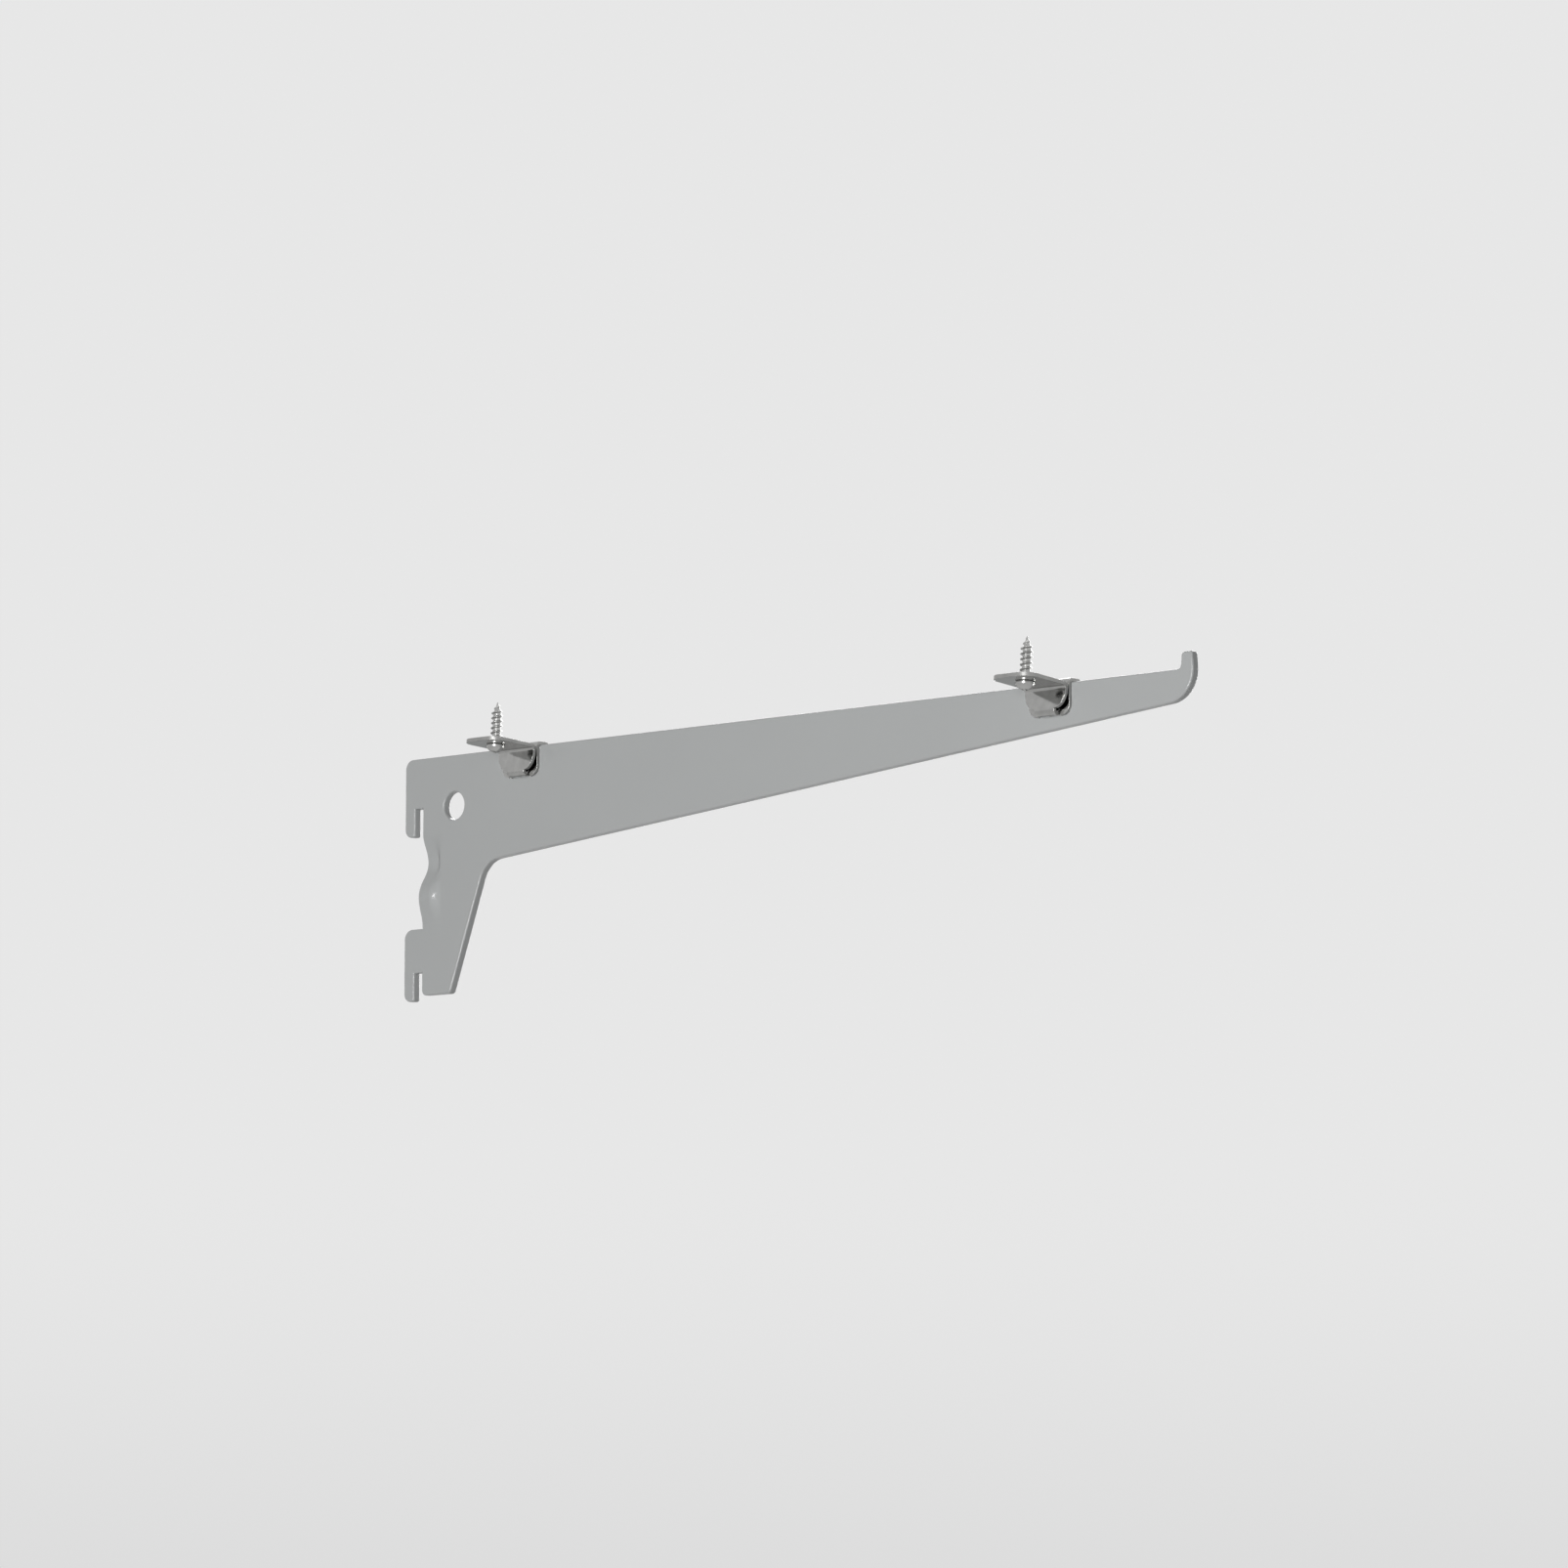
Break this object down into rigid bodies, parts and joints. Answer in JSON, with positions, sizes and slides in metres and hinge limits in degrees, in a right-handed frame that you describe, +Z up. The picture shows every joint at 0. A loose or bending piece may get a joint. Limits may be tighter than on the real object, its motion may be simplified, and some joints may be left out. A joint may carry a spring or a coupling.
{
  "type": "slotted rail shelf bracket",
  "caption": "Flat tapered steel shelf bracket with an upturned nose and rear hooks for a slotted wall rail, carrying folded clips that screw up into the board.",
  "frame": {"origin": "where the plate's top edge meets the front face of the wall rail, in the middle of the plate's thickness", "axes": "+X out from the wall along the arm, +Y across the plate away from the clip flanges, +Z up"},
  "size_m": [0.3031, 0.0239, 0.0868],
  "materials": {
    "grey_paint": "semi-gloss light grey paint",
    "plated_sheet": "bright plated sheet steel",
    "plated_screw": "bright plated screw"
  },
  "bodies": {
    "root": {"bracket_arm": "grey_paint", "rear_clip": "plated_sheet", "front_clip": "plated_sheet", "clip_screws": "plated_screw"}
  },
  "joints": []
}
